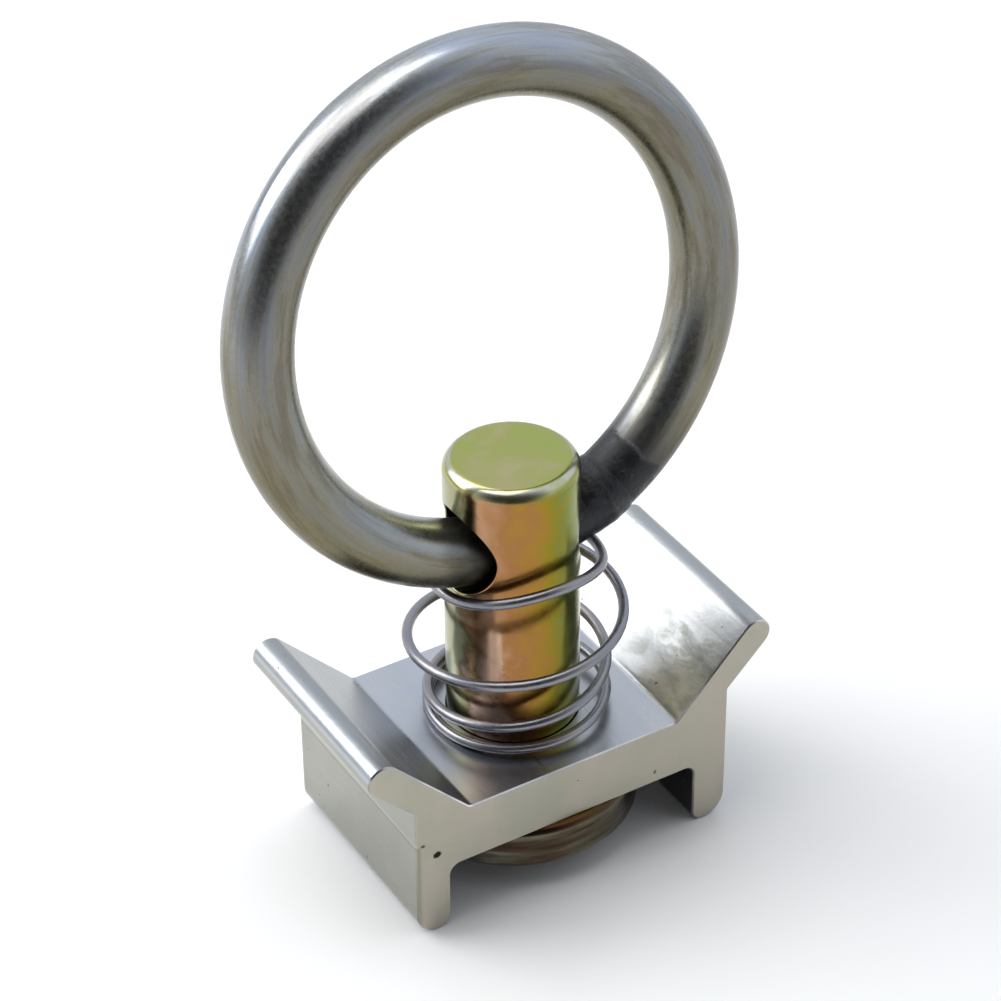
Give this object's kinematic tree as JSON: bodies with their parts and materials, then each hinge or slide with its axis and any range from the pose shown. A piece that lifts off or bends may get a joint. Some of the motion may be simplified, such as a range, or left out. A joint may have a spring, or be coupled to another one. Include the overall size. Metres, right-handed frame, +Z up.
{
  "type": "cargo track ring fitting",
  "caption": "Single-stud ring fitting for slotted cargo track: round-footed stud, lashing ring through its eye, and a sprung two-legged keeper with finger wings.",
  "frame": {"origin": "centre of the stud foot's upper face, on the stud's axis, where the foot bears up under the track's lips", "axes": "+Z up the stud, X along the track through both keeper legs and along the ring's eye, Y along the keeper's drawn length"},
  "size_m": [0.0432, 0.0198, 0.067],
  "materials": {
    "stud_plating": "yellow-passivated zinc, satin, iridescent",
    "keeper_metal": "satin, as drawn, with sawn ends",
    "spring_wire": "bright drawn wire",
    "ring_plating": "satin zinc",
    "weld_scale": "matt black weld scale"
  },
  "bodies": {
    "stud": {"stud": "stud_plating"},
    "ring": {"ring": "ring_plating", "ring_weld": "weld_scale"},
    "spring": {"spring": "spring_wire"},
    "keeper": {"keeper": "keeper_metal"}
  },
  "joints": [
    {"name": "ring_swing", "type": "hinge", "parent": "stud", "child": "ring", "pos_m": [0, 0, 0.022], "axis": [1, 0, 0], "range_deg": [-62.3, 81.7]},
    {"name": "keeper_lift", "type": "slide", "parent": "stud", "child": "spring", "axis": [0, 0, 1], "range_m": [0, 0.009], "stiffness_N_per_m": 600, "springref_m": -0.004, "deforming": ["spring"]},
    {"name": "keeper_swivel", "type": "hinge", "parent": "spring", "child": "keeper", "pos_m": [0, 0, 0.00525], "axis": [0, 0, 1], "continuous": true}
  ]
}
